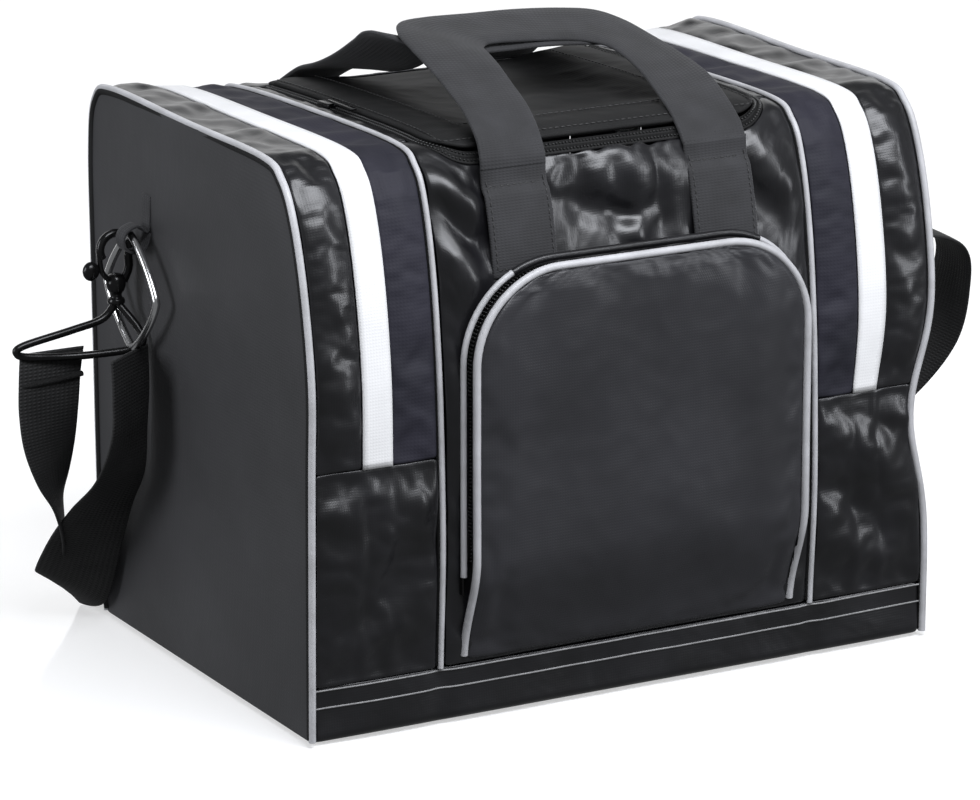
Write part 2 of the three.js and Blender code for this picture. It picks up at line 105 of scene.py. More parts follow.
def spline(points, t):
    """A smooth curve through the points; t counts from point to point."""
    points = np.asarray(points, float)
    last = len(points) - 1
    i = min(max(int(t), 0), last - 1)
    f = t - i
    before, start = points[max(i - 1, 0)], points[i]
    end, after = points[i + 1], points[min(i + 2, last)]
    bend = 2 * before - 5 * start + 4 * end - after
    twist = 3 * start - before - 3 * end + after
    return 0.5 * (2 * start + (end - before) * f + bend * f * f + twist * f ** 3)


def smooth(points, count):
    """count points spread evenly in t on the smooth curve through the points."""
    last = len(points) - 1
    return np.array([spline(points, last * i / (count - 1)) for i in range(count)])


def wrap_point(x, t):
    """A point of the bag's wall at distance x from the middle and place t on the wall's line."""
    share = min(max((abs(x) - CENTRE_X) / (END_X - CENTRE_X), 0), 1)
    y, z = (1 - share) * spline(CENTRE_LINE, t) + share * spline(END_LINE, t)
    if x > CENTRE_X:
        x -= 12 * share * math.exp(-((z - 128) / 40) ** 2)  # the right end is pressed in
    return x, y, z


def place_on_line(x, y):
    """The place t at which the wall's top reaches y."""
    low, high = 4.0, 12.0
    for _ in range(30):
        middle = (low + high) / 2
        if wrap_point(x, middle)[1] < y:
            low = middle
        else:
            high = middle
    return low


def top_height(x, y):
    return wrap_point(x, place_on_line(x, y))[2]


def grid_normals(grid):
    """Unit normals of a grid of points, pointing away from the bag's middle."""
    along = np.gradient(grid, axis=0)
    across = np.gradient(grid, axis=1)
    normals = np.cross(along, across)
    normals /= np.maximum(np.linalg.norm(normals, axis=2, keepdims=True), 1e-9)
    outward = grid - np.array([0, 0, 150.0])
    if np.sum(normals * outward) < 0:
        normals = -normals
    return normals


def crumple(grid, depth, size, seed, edge=4):
    """Creases in a grid of cloth, fading out at its sewn edges; size is that of one fold."""
    rows, columns = grid.shape[:2]
    normals = grid_normals(grid)
    result = grid.copy()
    for i in range(rows):
        for j in range(columns):
            fade = min(1, min(i, rows - 1 - i) / edge, min(j, columns - 1 - j) / edge * 1.6)
            p = Vector(grid[i, j]) / size + Vector((seed, 0, 0))
            soft = noise.noise(p)
            crease = 1 - 2 * abs(noise.noise(p * 1.9 + Vector((0, seed, 5))))
            result[i, j] += normals[i, j] * depth * fade * (0.6 * soft + 0.5 * crease * crease)
    return result


def fold(grid, start, end, depth, width):
    """A soft ridge, or a hollow with a negative depth, between two points (x, z) of a front panel."""
    start, end = np.array(start, float), np.array(end, float)
    line = end - start
    flat = grid[:, :, [0, 2]] - start
    share = np.clip(flat @ line / (line @ line), 0, 1)
    away = np.linalg.norm(flat - share[..., None] * line, axis=2)
    front = grid[:, :, 1] < 0
    height = depth * np.exp(-(away / width) ** 2) * (0.35 + 0.65 * np.sin(math.pi * share)) * front
    return grid + grid_normals(grid) * height[..., None]


def folded(grid, fold_lines, side=1):
    """A grid with all of a list's folds in it, mirrored for the left side."""
    for (start_x, start_z), (end_x, end_z), depth, width in fold_lines:
        grid = fold(grid, (side * start_x, start_z), (side * end_x, end_z), depth, width)
    return grid


def pinned_edges(grid):
    """Marks the outer rows and columns of a grid, which are sewn down."""
    pinned = np.zeros(grid.shape[:2], bool)
    pinned[[0, -1], :] = True
    pinned[:, [0, -1]] = True
    return pinned


def settle(grid, pinned, grow, pressure, cap, frames=16):
    """Lets a grid of oversize cloth wrinkle between its pinned seams, and gives its points back."""
    rows, columns = grid.shape[:2]
    mesh = bpy.data.meshes.new("settling")
    mesh.from_pydata((grid.reshape(-1, 3) * MM).tolist(), [], grid_faces(rows, columns))
    cloth = bpy.data.objects.new("settling", mesh)
    bpy.context.scene.collection.objects.link(cloth)
    held = cloth.vertex_groups.new(name="held")
    held.add([int(i) for i in np.flatnonzero(pinned.reshape(-1))], 1.0, "REPLACE")
    settings = cloth.modifiers.new("cloth", "CLOTH").settings
    settings.vertex_group_mass = "held"
    settings.quality = 6
    settings.mass = 0.05
    settings.shrink_min = -grow
    settings.bending_stiffness = 0.12
    settings.use_pressure = True
    settings.uniform_pressure_force = pressure
    settings.effector_weights.gravity = 0
    for step in range(1, frames + 1):
        bpy.context.scene.frame_set(step)
    shaped = cloth.evaluated_get(bpy.context.evaluated_depsgraph_get()).to_mesh()
    points = np.array([v.co[:] for v in shaped.vertices]).reshape(grid.shape) / MM
    bpy.context.scene.frame_set(1)
    bpy.data.objects.remove(cloth)
    moved = points - grid
    length = np.maximum(np.linalg.norm(moved, axis=2, keepdims=True), 1e-9)
    return grid + moved * np.minimum(1, cap / length)


def grid_faces(rows, columns, closed=False):
    faces = []
    for i in range(rows - 1):
        for j in range(columns if closed else columns - 1):
            k = (j + 1) % columns
            faces.append((i * columns + j, i * columns + k, (i + 1) * columns + k, (i + 1) * columns + j))
    return faces


def finish_piece(name, mesh, material, body, nodes):
    piece = bpy.data.objects.new(name, mesh)
    bpy.context.scene.collection.objects.link(piece)
    mesh.materials.append(material)
    for polygon in mesh.polygons:
        polygon.use_smooth = True
    if body:
        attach(piece, body)
    if nodes:
        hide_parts(*nodes)
    return piece


def lengths(points):
    steps = np.linalg.norm(np.diff(points, axis=0), axis=1)
    return np.concatenate([[0], np.cumsum(steps)])


def grid_mesh(name, grid, closed=False):
    """A mesh of a grid in millimetres, with its UVs in metres of cloth."""
    rows, columns = grid.shape[:2]
    mesh = bpy.data.meshes.new(name)
    mesh.from_pydata((grid.reshape(-1, 3) * MM).tolist(), [], grid_faces(rows, columns, closed))
    down = lengths(grid[:, columns // 2]) * MM
    over = lengths(grid[rows // 2]) * MM
    if closed:
        around = over[-1] + np.linalg.norm(grid[rows // 2, 0] - grid[rows // 2, -1]) * MM
    layer = mesh.uv_layers.new(name="UVMap").data
    for polygon in mesh.polygons:
        wraps = closed and polygon.vertices[1] % columns == 0 and polygon.vertices[0] % columns > 0
        for loop, vertex in zip(polygon.loop_indices, polygon.vertices):
            i, j = divmod(vertex, columns)
            u = around if wraps and j == 0 else over[j]
            layer[loop].uv = (u, down[i])
    return mesh


def cloth_piece(name, grid, material, body, nodes=(), thickness=1.6, soften=1):
    """A sewn sheet: a grid of points made into cloth with a thickness on its inner side."""
    normals = grid_normals(grid)
    mesh = grid_mesh(name, grid)
    mesh.update()
    middle = len(mesh.polygons) // 2
    facing = np.array(mesh.polygons[middle].normal)
    i, j = divmod(mesh.polygons[middle].vertices[0], grid.shape[1])
    if np.dot(facing, normals[i, j]) < 0:
        mesh.flip_normals()
    piece = finish_piece(name, mesh, material, body, nodes)
    solid = piece.modifiers.new("thickness", "SOLIDIFY")
    solid.thickness = thickness * MM
    solid.offset = -1
    if soften:
        smoother = piece.modifiers.new("soft", "SUBSURF")
        smoother.levels = smoother.render_levels = soften
    return piece


def loft(name, sections, material, body, nodes=(), soften=0):
    """A closed form through rings of points, with its ends capped."""
    grid = np.array(sections, float)
    rings, count = grid.shape[:2]
    mesh = grid_mesh(name, grid, closed=True)
    form = bmesh.new()
    form.from_mesh(mesh)
    form.verts.ensure_lookup_table()
    form.faces.new([form.verts[i] for i in range(count)])
    form.faces.new([form.verts[(rings - 1) * count + i] for i in range(count)])
    bmesh.ops.recalc_face_normals(form, faces=form.faces)
    form.to_mesh(mesh)
    form.free()
    piece = finish_piece(name, mesh, material, body, nodes)
    if soften:
        smoother = piece.modifiers.new("soft", "SUBSURF")
        smoother.levels = smoother.render_levels = soften
    return piece


def tube(name, points, radius, material, body, nodes=(), cyclic=False):
    """A round cord or wire through the points."""
    curve = bpy.data.curves.new(name, "CURVE")
    curve.dimensions = "3D"
    curve.bevel_depth = radius * MM
    curve.bevel_resolution = 4
    curve.use_fill_caps = True
    line = curve.splines.new("POLY")
    line.points.add(len(points) - 1)
    for point, place in zip(line.points, points):
        point.co = (*(np.array(place) * MM), 1)
    line.use_cyclic_u = cyclic
    line.use_smooth = True
    made = bpy.data.objects.new(name, curve)
    bpy.context.scene.collection.objects.link(made)
    mesh = bpy.data.meshes.new_from_object(made.evaluated_get(bpy.context.evaluated_depsgraph_get()))
    bpy.data.objects.remove(made)
    return finish_piece(name, mesh, material, body, nodes)


def ribbon(name, centres, halves, thickness, material, body, nodes=(), count=None, sag=0):
    """Flat webbing through centre points; halves are the vectors from its middle to one edge.
    """
    count = count or 6 * len(centres)
    middle = smooth(centres, count)
    half = smooth(halves, count)
    along = np.gradient(middle, axis=0)
    normal = np.cross(along, half)
    normal /= np.maximum(np.linalg.norm(normal, axis=1, keepdims=True), 1e-9)
    shares = [-1, -0.985, -0.93, -0.5, 0, 0.5, 0.93, 0.985, 1]
    rises = [0, 0.3, 0.5, 0.5, 0.5, 0.5, 0.5, 0.3, 0]
    sections = []
    for m, h, n in zip(middle, half, normal):
        upper = [m + h * s + n * (thickness * r - sag * (1 - s * s)) for s, r in zip(shares, rises)]
        lower = [m + h * s - n * (thickness * r + sag * (1 - s * s)) for s, r in zip(shares, rises)]
        sections.append(upper + lower[-2:0:-1])
    piece = loft(name, sections, material, body, nodes)
    return piece


def stitches(name, points, normals, material, body, stitch=2.6, pitch=3.6, radius=0.35):
    """A row of separate short stitches along a line on a surface."""
    points = np.asarray(points, float)
    normals = np.asarray(normals, float)
    run = lengths(points)
    vertices, faces = [], []
    for k in range(int(run[-1] / pitch)):
        ends = []
        for distance in (k * pitch, k * pitch + stitch):
            place = np.array([np.interp(distance, run, points[:, a]) for a in range(3)])
            lift = np.array([np.interp(distance, run, normals[:, a]) for a in range(3)])
            ends.append((place, lift / np.linalg.norm(lift)))
        start, finish = ends
        axis = finish[0] - start[0]
        axis /= max(np.linalg.norm(axis), 1e-9)
        side = np.cross(axis, start[1])
        base = len(vertices)
        for share, swell in ((0, 0.35), (0.2, 1), (0.8, 1), (1, 0.35)):
            centre = start[0] + (finish[0] - start[0]) * share
            for turn in range(6):
                angle = turn * math.pi / 3
                offset = side * math.cos(angle) + start[1] * math.sin(angle)
                vertices.append((centre + offset * radius * swell) * MM)
        for ring in range(3):
            for turn in range(6):
                a, b = base + ring * 6 + turn, base + ring * 6 + (turn + 1) % 6
                faces.append((a, b, b + 6, a + 6))
        faces.append(tuple(base + i for i in range(5, -1, -1)))
        faces.append(tuple(base + 18 + i for i in range(6)))
    mesh = bpy.data.meshes.new(name)
    mesh.from_pydata([tuple(v) for v in vertices], [], faces)
    return finish_piece(name, mesh, material, body, ())


def teeth(name, points, normals, material, body, nodes=(), pitch=2.0, size=(1.1, 1.8, 0.8)):
    """The coil of a zip: small rounded bars across a line."""
    points = np.asarray(points, float)
    run = lengths(points)
    vertices, faces = [], []
    corners = [(-1, -1, 0), (1, -1, 0), (1, 1, 0), (-1, 1, 0),
               (-0.6, -0.9, 1), (0.6, -0.9, 1), (0.6, 0.9, 1), (-0.6, 0.9, 1)]
    sides = [(3, 2, 1, 0), (4, 5, 6, 7), (0, 1, 5, 4), (1, 2, 6, 5), (2, 3, 7, 6), (3, 0, 4, 7)]
    for k in range(int(run[-1] / pitch)):
        place = np.array([np.interp(k * pitch, run, points[:, a]) for a in range(3)])
        ahead = np.array([np.interp(k * pitch + 1, run, points[:, a]) for a in range(3)])
        lift = np.array([np.interp(k * pitch, run, np.asarray(normals)[:, a]) for a in range(3)])
        lift /= np.linalg.norm(lift)
        along = ahead - place
        along /= max(np.linalg.norm(along), 1e-9)
        across = np.cross(lift, along)
        base = len(vertices)
        for a, b, c in corners:
            offset = along * a * size[0] / 2 + across * b * size[1] / 2 + lift * c * size[2]
            vertices.append((place + offset) * MM)
        faces += [tuple(base + i for i in side) for side in sides]
    mesh = bpy.data.meshes.new(name)
    mesh.from_pydata([tuple(v) for v in vertices], [], faces)
    return finish_piece(name, mesh, material, body, nodes)


def rounded_block(name, low, high, bevel, material, body, nodes=()):
    form = bmesh.new()
    bmesh.ops.create_cube(form, size=1)
    low, high = np.array(low, float), np.array(high, float)
    for v in form.verts:
        v.co = Vector(((low + high) / 2 + np.array(v.co) * (high - low)) * MM)
    edges = list(form.edges)
    bmesh.ops.bevel(form, geom=edges, offset=bevel * MM, segments=3, affect="EDGES", profile=0.5)
    mesh = bpy.data.meshes.new(name)
    form.to_mesh(mesh)
    form.free()
    return finish_piece(name, mesh, material, body, nodes)


# ---- materials ----

class Nodes:
    """A short way to build a node material."""

    def __init__(self, name, roughness, metallic=0.0):
        self.material = bpy.data.materials.new(name)
        self.material.use_nodes = True
        self.tree = self.material.node_tree
        self.shader = self.tree.nodes["Principled BSDF"]
        self.shader.inputs["Roughness"].default_value = roughness
        self.shader.inputs["Metallic"].default_value = metallic
        self.place = self.node("ShaderNodeTexCoord")

    def node(self, kind, **values):
        made = self.tree.nodes.new(kind)
        for key, value in values.items():
            setattr(made, key, value)
        return made

    def link(self, source, target):
        self.tree.links.new(source, target)

    def noise(self, scale, detail=3.0, distortion=0.0):
        made = self.node("ShaderNodeTexNoise")
        made.inputs["Scale"].default_value = scale
        made.inputs["Detail"].default_value = detail
        made.inputs["Distortion"].default_value = distortion
        self.link(self.place.outputs["Object"], made.inputs["Vector"])
        return made.outputs["Fac"]

    def weave(self, threads_per_metre, ratio=1.0):
        """Two sets of crossing threads, as a height from 0 to 1."""
        heights = []
        for direction, scale in (("X", threads_per_metre), ("Y", threads_per_metre * ratio)):
            wave = self.node("ShaderNodeTexWave", bands_direction=direction)
            wave.inputs["Scale"].default_value = scale / 6.283
            wave.inputs["Distortion"].default_value = 0.4
            self.link(self.place.outputs["UV"], wave.inputs["Vector"])
            heights.append(wave.outputs["Fac"])
        both = self.node("ShaderNodeMath", operation="MULTIPLY")
        self.link(heights[0], both.inputs[0])
        self.link(heights[1], both.inputs[1])
        return both.outputs[0]

    def range(self, source, low, high, start=0.3, end=0.7):
        made = self.node("ShaderNodeMapRange")
        made.inputs["From Min"].default_value = start
        made.inputs["From Max"].default_value = end
        made.inputs["To Min"].default_value = low
        made.inputs["To Max"].default_value = high
        self.link(source, made.inputs["Value"])
        return made.outputs["Result"]

    def color(self, source, dark, light):
        """The surface's colour, between two tones."""
        ramp = self.node("ShaderNodeValToRGB")
        ramp.color_ramp.elements[0].position = 0.3
        ramp.color_ramp.elements[1].position = 0.7
        ramp.color_ramp.elements[0].color = (*dark, 1)
        ramp.color_ramp.elements[1].color = (*light, 1)
        self.link(source, ramp.inputs["Fac"])
        self.link(ramp.outputs["Color"], self.shader.inputs["Base Color"])

    def roughness(self, source, low, high):
        self.link(self.range(source, low, high), self.shader.inputs["Roughness"])

    def bumps(self, *layers):
        """Bump layers, each (height, depth in millimetres)."""
        previous = None
        for height, depth in layers:
            bump = self.node("ShaderNodeBump")
            bump.inputs["Distance"].default_value = depth * MM
            bump.inputs["Strength"].default_value = 1.0
            self.link(height, bump.inputs["Height"])
            if previous:
                self.link(previous, bump.inputs["Normal"])
            previous = bump.outputs["Normal"]
        self.link(previous, self.shader.inputs["Normal"])


def gray(value, blue=1.0):
    return value, value, value * blue


def gloss_fabric():
    """Black fabric with a glossy coating that has fine creases."""
    m = Nodes("gloss_fabric", 0.3)
    m.color(m.noise(30), gray(0.004, 1.15), gray(0.009, 1.2))
    m.roughness(m.noise(45, 3), 0.3, 0.4)
    m.bumps((m.noise(20, 3, 0.6), 1.8), (m.noise(90, 3, 0.4), 0.22), (m.weave(1400), 0.03))
    m.shader.inputs["Coat Weight"].default_value = 0.2
    m.shader.inputs["Coat Roughness"].default_value = 0.25
    return m.material


def charcoal_fabric():
    """Matte charcoal fabric with a fine weave."""
    m = Nodes("charcoal_fabric", 0.5)
    m.color(m.noise(14), gray(0.036, 1.05), gray(0.048, 1.06))
    m.bumps((m.noise(16, 3), 1.2), (m.weave(1100), 0.05))
    m.shader.inputs["Specular IOR Level"].default_value = 0.45
    return m.material


def pocket_fabric():
    """Semi-matte dark grey coated fabric of the pocket's face."""
    m = Nodes("pocket_fabric", 0.5)
    m.color(m.noise(12), gray(0.022, 1.12), gray(0.03, 1.14))
    m.roughness(m.noise(30), 0.36, 0.48)
    m.bumps((m.noise(14, 3), 1.8), (m.weave(1300), 0.04))
    m.shader.inputs["Specular IOR Level"].default_value = 0.45
    return m.material


def slate_fabric():
    """Matte slate fabric with a clear weave."""
    m = Nodes("slate_fabric", 0.7)
    m.color(m.noise(22), (0.012, 0.012, 0.019), (0.02, 0.019, 0.03))
    m.bumps((m.noise(24, 3), 1.0), (m.weave(1000), 0.06))
    m.shader.inputs["Specular IOR Level"].default_value = 0.35
    return m.material


def black_fabric():
    """Matte black woven fabric."""
    m = Nodes("black_fabric", 0.72)
    m.color(m.noise(20), gray(0.006), gray(0.011))
    m.bumps((m.noise(22, 3), 1.2), (m.weave(1000), 0.06))
    m.shader.inputs["Specular IOR Level"].default_value = 0.3
    return m.material


def white_tape():
    """White woven tape."""
    m = Nodes("white_tape", 0.55)
    m.color(m.noise(40), gray(0.8), gray(0.88))
    m.bumps((m.noise(30, 2), 0.6), (m.weave(1200), 0.06))
    return m.material


def grey_vinyl():
    """Light-grey piping with a soft gloss."""
    m = Nodes("grey_vinyl", 0.42)
    m.color(m.noise(60), gray(0.42, 1.02), gray(0.54, 1.03))
    m.bumps((m.noise(140, 2), 0.3),)
    return m.material


def charcoal_webbing():
    """Coarse woven handle webbing."""
    m = Nodes("charcoal_webbing", 0.8)
    m.color(m.noise(60), gray(0.016, 1.08), gray(0.026, 1.1))
    m.bumps((m.noise(30), 0.5), (m.weave(900, 1.5), 0.16))
    m.shader.inputs["Sheen Weight"].default_value = 0.1
    return m.material


def strap_webbing():
    """Black strap webbing."""
    m = Nodes("strap_webbing", 0.72)
    m.color(m.noise(60), gray(0.007), gray(0.014))
    m.bumps((m.noise(26), 0.5), (m.weave(700, 1.5), 0.3))
    return m.material


def zip_coil():
    m = Nodes("zip_coil", 0.35)
    m.color(m.noise(80), gray(0.008), gray(0.014))
    m.bumps((m.noise(300, 2), 0.1),)
    return m.material


def thread(name, roughness, dark, light):
    m = Nodes(name, roughness)
    m.color(m.noise(200), gray(dark), gray(light))
    m.bumps((m.noise(900, 2), 0.1),)
    return m.material


def bright_nickel():
    m = Nodes("bright_nickel", 0.2, 1.0)
    m.color(m.noise(60), gray(0.62), gray(0.72))
    m.roughness(m.noise(200), 0.14, 0.26)
    m.bumps((m.noise(120, 2), 0.05),)
    return m.material


def black_plating():
    m = Nodes("black_plating", 0.25, 0.7)
    m.color(m.noise(60), gray(0.012), gray(0.022))
    m.roughness(m.noise(200), 0.16, 0.3)
    m.bumps((m.noise(150, 2), 0.06),)
    return m.material


GLOSS = gloss_fabric()
CHARCOAL = charcoal_fabric()
POCKET = pocket_fabric()
SLATE = slate_fabric()
BLACK = black_fabric()
WHITE = white_tape()
VINYL = grey_vinyl()
WEBBING = charcoal_webbing()
STRAP = strap_webbing()
COIL = zip_coil()
THREAD = thread("grey_thread", 0.6, 0.2, 0.3)
DARK_THREAD = thread("dark_thread", 0.55, 0.02, 0.035)
NICKEL = bright_nickel()
METAL = black_plating()


# ---- camera, lights and floor ----

def make_camera():
    back = Vector((-0.4696, -0.8420, 0.2654)).normalized()
    target = Vector((0, 0.004, 0.150))
    data = bpy.data.cameras.new("camera")
    data.lens = 187.95
    data.sensor_width = 36
    data.shift_x = -0.01755
    data.shift_y = -0.04337
    camera = bpy.data.objects.new("camera", data)
    camera.location = target + back * 2.7581
    camera.rotation_euler = back.to_track_quat("Z", "Y").to_euler()
    bpy.context.scene.collection.objects.link(camera)
    bpy.context.scene.camera = camera


def area_light(name, place, size, power, target=(0, 0, 0.15)):
    data = bpy.data.lights.new(name, "AREA")
    data.shape = "RECTANGLE"
    data.size, data.size_y = size
    data.energy = power
    data.color = (0.93, 0.95, 1)
    light = bpy.data.objects.new(name, data)
    light.location = place
    light.rotation_euler = (Vector(place) - Vector(target)).to_track_quat("Z", "Y").to_euler()
    bpy.context.scene.collection.objects.link(light)


def make_studio():
    scene = bpy.context.scene
    scene.view_settings.view_transform = "Standard"
    world = bpy.data.worlds.new("studio")
    world.use_nodes = True
    world.node_tree.nodes["Background"].inputs["Color"].default_value = (0.95, 0.97, 1, 1)
    world.node_tree.nodes["Background"].inputs["Strength"].default_value = 0.2
    scene.world = world
    area_light("overhead", (0.0, -0.9, 1.3), (1.3, 0.6), 27)
    area_light("front", (1.3, -1.5, 0.7), (0.25, 0.9), 10)
    area_light("left", (-1.7, 0.3, 0.6), (0.5, 0.9), 14)


def make_floor():
    """A pale glossy floor, and a far white card that it mirrors softly beside the bag."""
    m = Nodes("pale_floor", 0.12)
    m.color(m.noise(3, 1), gray(0.7), gray(0.72))
    m.shader.inputs["Emission Color"].default_value = (1, 1, 1, 1)
    m.shader.inputs["Emission Strength"].default_value = 0.5
    bpy.ops.mesh.primitive_plane_add(size=14, location=(0, 2, -0.0004))
    floor = bpy.context.object
    floor.name = "floor"
    floor.data.materials.append(m.material)
    floor.visible_diffuse = False
    floor.visible_glossy = False
    glow = Nodes("white_card", 1.0)
    glow.color(glow.noise(1, 1), gray(0.8), gray(0.8))
    glow.shader.inputs["Emission Color"].default_value = (1, 1, 1, 1)
    glow.shader.inputs["Emission Strength"].default_value = 0.9
    bpy.ops.mesh.primitive_plane_add(size=9, location=(3.2, 5.8, 1.2), rotation=(math.pi / 2, 0, -0.5))
    card = bpy.context.object
    card.name = "white_card"
    card.data.materials.append(glow.material)
    card.visible_camera = False
    card.visible_diffuse = False
    card.visible_shadow = False


# ---- the wrap: strips and panels of the sides and the middle ----

def wrap_grid(columns, rows):
    return np.array([[wrap_point(x, t) for x in columns] for t in rows])


def side_columns():
    """Distances from the middle of the side section's grid lines, with its seams among them."""
    seams = [CENTRE_X + 2.2, STRIPE_X[0], STRIPE_X[1], END_X - 2.4]
    columns = [seams[0]]
    for low, high in zip(seams, seams[1:]):
        steps = round((high - low) / 3.6)
        columns += [low + (high - low) * i / steps for i in range(1, steps + 1)]
    return seams, columns


# Folds under the stripes, in the same form and for the right side.
SIDE_FOLDS = [((120, 128), (176, 88), 4.5, 11), ((118, 100), (160, 62), -4, 9),
              ((150, 132), (184, 120), 3, 6), ((128, 60), (180, 44), 3, 7)]


def build_side(side):
    """All the strips and panels of one side section."""
    word = "left" if side < 0 else "right"
    seams, columns = side_columns()
    rows = list(np.linspace(BAND_TOP, BACK_BAND_TOP, 211))
    grid = wrap_grid([side * x for x in columns], rows)
    seam_columns = [columns.index(x) for x in seams]
    front_row = min(range(len(rows)), key=lambda i: abs(rows[i] - SIDE_SEAM))
    back_row = min(range(len(rows)), key=lambda i: abs(rows[i] - BACK_SEAM))
    pinned = np.zeros(grid.shape[:2], bool)
    pinned[:, seam_columns] = True
    pinned[[0, front_row, back_row, -1], :] = True
    pinned[front_row:back_row, seam_columns[1]:seam_columns[2] + 1] = True
    grid = settle(grid, pinned, 0.03, 1.2, 3)
    a, b, c, d = seam_columns
    upper = slice(front_row, back_row + 1)
    matte = crumple(grid[upper, a:b + 1], 0.5, 26, 3)
    cloth_piece(f"matte_strip_{word}", matte, SLATE, "shell", [f"matte_strip_{word}"])
    gloss = crumple(crumple(grid[upper, c:d + 1], 2.8, 40, 5 + side, 2), 0.9, 16, 9 + side, 2)
    cloth_piece(f"gloss_strip_{word}", gloss, GLOSS, "shell", [f"gloss_strip_{word}"])
    tape = grid[upper, b:c + 1]
    tape = tape + grid_normals(tape) * 0.7
    cloth_piece(f"stripe_{word}", tape, WHITE, "shell", [f"stripe_{word}"], 1.4, 0)
    low_front = folded(grid[:front_row + 1, a:d + 1], SIDE_FOLDS, side)
    low_front = crumple(crumple(low_front, 2.6, 44, 14 + side), 0.8, 20, 17)
    cloth_piece(f"lower_front_{word}", low_front, GLOSS, "shell", [f"lower_front_{word}"])
    low_back = crumple(grid[back_row:, a:d + 1], 1.8, 22, 20 + side)
    cloth_piece(f"lower_back_{word}", low_back, GLOSS, "shell", [f"lower_back_{word}"])


def lid_half_width(y, margin):
    """Half the width of the lid's outline, grown by a margin, at depth y."""
    half = LID_HIGH[0] + margin
    radius = LID_CORNER + margin
    ahead = LID_LOW[1] - margin + radius - y
    if ahead <= 0:
        return half
    return half - radius + math.sqrt(max(radius ** 2 - ahead ** 2, 0))


def lid_front(x, margin):
    """How far forward the lid's outline, grown by a margin, reaches at distance x."""
    radius = LID_CORNER + margin
    over = abs(x) - (LID_HIGH[0] + margin - radius)
    front = LID_LOW[1] - margin
    if over <= 0:
        return front
    return front + radius - math.sqrt(max(radius ** 2 - min(over, radius) ** 2, 0))


# Folds of the middle's front, each (start, end, depth, width), around and between the handle's legs.
CENTRE_FOLDS = [((-20, 286), (44, 268), 6, 17), ((-38, 266), (22, 249), -5, 9),
                ((0, 243), (26, 255), 2.5, 4), ((-6, 252), (12, 240), 2, 4),
                ((-104, 284), (-82, 262), 5, 7), ((-106, 270), (-82, 246), -5, 6),
                ((-104, 250), (-88, 222), 4, 8), ((86, 286), (101, 250), 6, 9),
                ((82, 262), (98, 232), -5, 7), ((-106, 200), (-98, 120), 3, 6),
                ((104, 210), (98, 120), 3, 5)]


def build_centre():
    margin = 2 * ZIP_WIDTH + 3 * SEAM
    edge = CENTRE_X - 2.2
    opening = LID_HIGH[0] + margin
    inner = list(np.linspace(-opening, opening, 61))
    columns = [-edge, *inner, edge]
    grid = []
    for s in np.linspace(0, 1, 76):
        row = []
        for x in columns:
            last = place_on_line(x, lid_front(x, margin))
            row.append(wrap_point(x, BAND_TOP + s * (last - BAND_TOP)))
        grid.append(row)
    grid = np.array(grid)
    grid = settle(grid, pinned_edges(grid), 0.025, 1.2, 4)
    pressed = (np.abs(grid[:, :, 0]) < POCKET_HIGH[0] + 8) & (grid[:, :, 2] < POCKET_TOP - 40)
    grid[pressed, 1] = np.maximum(grid[pressed, 1], -129.5)
    grid = folded(grid, CENTRE_FOLDS)
    grid = crumple(crumple(grid, 2.4, 50, 31, 6), 0.7, 22, 38)
    cloth_piece("centre_front_panel", grid, GLOSS, "shell", ["centre_front_panel"])
    back_rows = np.linspace(place_on_line(0, LID_HIGH[1] + 2), BACK_BAND_TOP, 70)
    back = wrap_grid(np.linspace(-edge, edge, 56), back_rows)
    back = crumple(settle(back, pinned_edges(back), 0.025, 1.2, 4), 1.6, 26, 47)
    cloth_piece("centre_back_panel", back, GLOSS, "shell", ["centre_back_panel"])
    for side, word in ((-1, "left"), (1, "right")):
        rows = np.linspace(lid_front(opening, margin), LID_HIGH[1] + 2, 60)
        strip = [[(x * side, y, top_height(x, y)) for x in np.linspace(opening, edge, 6)] for y in rows]
        strip = crumple(np.array(strip), 1.6, 10, 50 + side, edge=1)
        cloth_piece(f"top_gusset_{word}", strip, GLOSS, "shell", [f"top_gusset_{word}"])


def build_base():
    """The bottom and its stitched band, one tray."""
    half = END_X - 2.7
    fronts = [spline(CENTRE_LINE, t) for t in np.linspace(BAND_TOP, 0.15, 8)]
    backs = [spline(CENTRE_LINE, t) for t in np.linspace(LINE_END - 0.15, BACK_BAND_TOP, 8)]
    corner = [(-124, 1.2), (-118, 0.8)]
    section = [*fronts, *corner, (0, 0.8), (118, 0.8), (121, 1.2), *backs]
    columns = np.linspace(-half, half, 75)
    grid = []
    for k, (y, z) in enumerate(section):
        row = []
        for x in columns:
            share = min(max((abs(x) - CENTRE_X) / (END_X - CENTRE_X), 0), 1)
            wave = 0.9 * noise.noise(Vector((x / 34, k * 0.12, 2)))
            pleat = 1.4 * math.exp(-((abs(x) - CENTRE_X) / 5) ** 2)
            inward = (wave - pleat) if k < 8 else 0
            row.append((x, y - inward + (2.2 * share if k < 8 else 0), z))
        grid.append(row)
    grid = np.array(grid)
    cloth_piece("base_pan", grid, GLOSS, "shell", ["base_pan"], thickness=1.2)
    for name, t in (("base_stitch_upper", 0.96), ("base_stitch_lower", 0.72)):
        row = [wrap_point(x, t) for x in np.linspace(-half, half, 120)]
        line = [(x, base_front(x, t) - 0.35, z) for x, _, z in row]
        tube(name, line, 0.45, THREAD, "shell")


def base_front(x, t):
    """The y of the bottom band's outer face."""
    share = min(max((abs(x) - CENTRE_X) / (END_X - CENTRE_X), 0), 1)
    k = (BAND_TOP - t) / 0.85 * 7
    wave = 0.9 * noise.noise(Vector((x / 34, k * 0.12, 2)))
    pleat = 1.4 * math.exp(-((abs(x) - CENTRE_X) / 5) ** 2)
    return spline(CENTRE_LINE, t)[0] - (wave - pleat) + 2.2 * share


